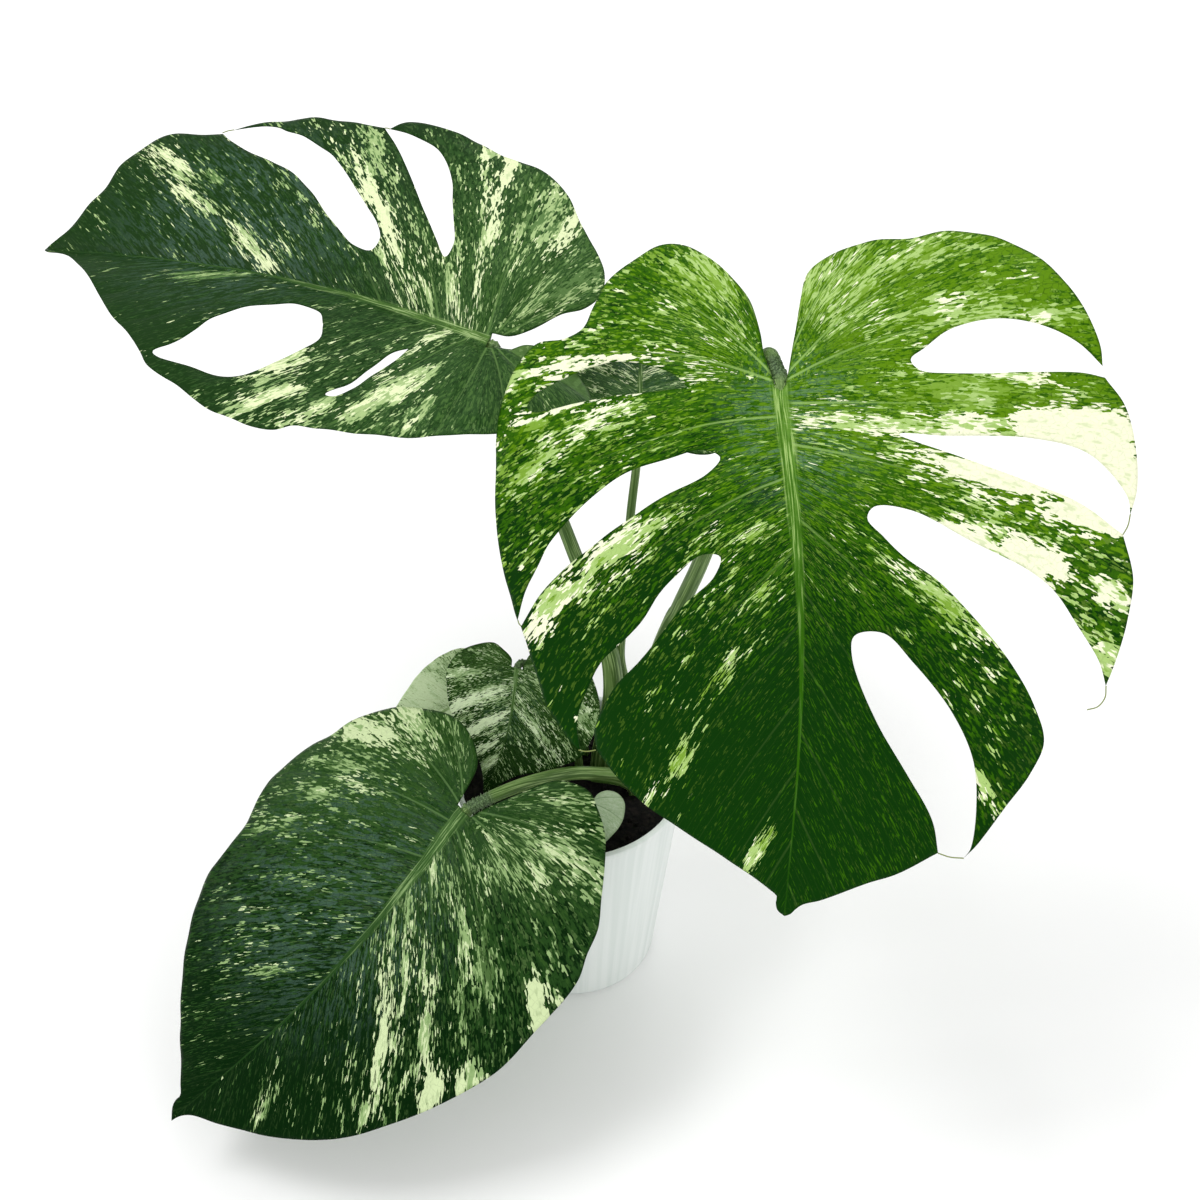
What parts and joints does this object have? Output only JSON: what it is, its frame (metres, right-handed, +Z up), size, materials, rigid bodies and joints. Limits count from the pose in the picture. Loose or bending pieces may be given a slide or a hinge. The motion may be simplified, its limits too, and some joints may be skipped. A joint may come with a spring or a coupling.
{
  "type": "potted white monster monstera",
  "caption": "Variegated split-leaf monstera with heart-shaped, slitted leaves on long petioles, growing from dark soil in a white tapered nursery pot.",
  "frame": {"origin": "centre of the pot's flat underside", "axes": "+Z straight up out of the pot; -Y towards the viewer of the picture; +X to the right in the picture"},
  "size_m": [0.5287, 0.4306, 0.4619],
  "materials": {
    "pot_white": "matte",
    "soil_mix": "matte",
    "stem_green": "satin",
    "petiole_green": "satin",
    "bright_blade": "satin",
    "deep_blade": "satin",
    "pale_blade": "satin"
  },
  "bodies": {
    "root": {"pot": "pot_white", "soil": "soil_mix", "stem": "stem_green", "front_leaf_petiole": "petiole_green", "front_leaf_blade": "bright_blade", "back_leaf_petiole": "petiole_green", "back_leaf_blade": "deep_blade", "low_leaf_petiole": "petiole_green", "low_leaf_blade": "deep_blade", "small_leaf_petiole": "petiole_green", "small_leaf_blade": "deep_blade", "pale_leaf_petiole": "petiole_green", "pale_leaf_blade": "pale_blade", "seedling_leaf_petiole": "petiole_green", "seedling_leaf_blade": "pale_blade", "hidden_leaf_petiole": "petiole_green", "hidden_leaf_blade": "deep_blade"}
  },
  "joints": []
}
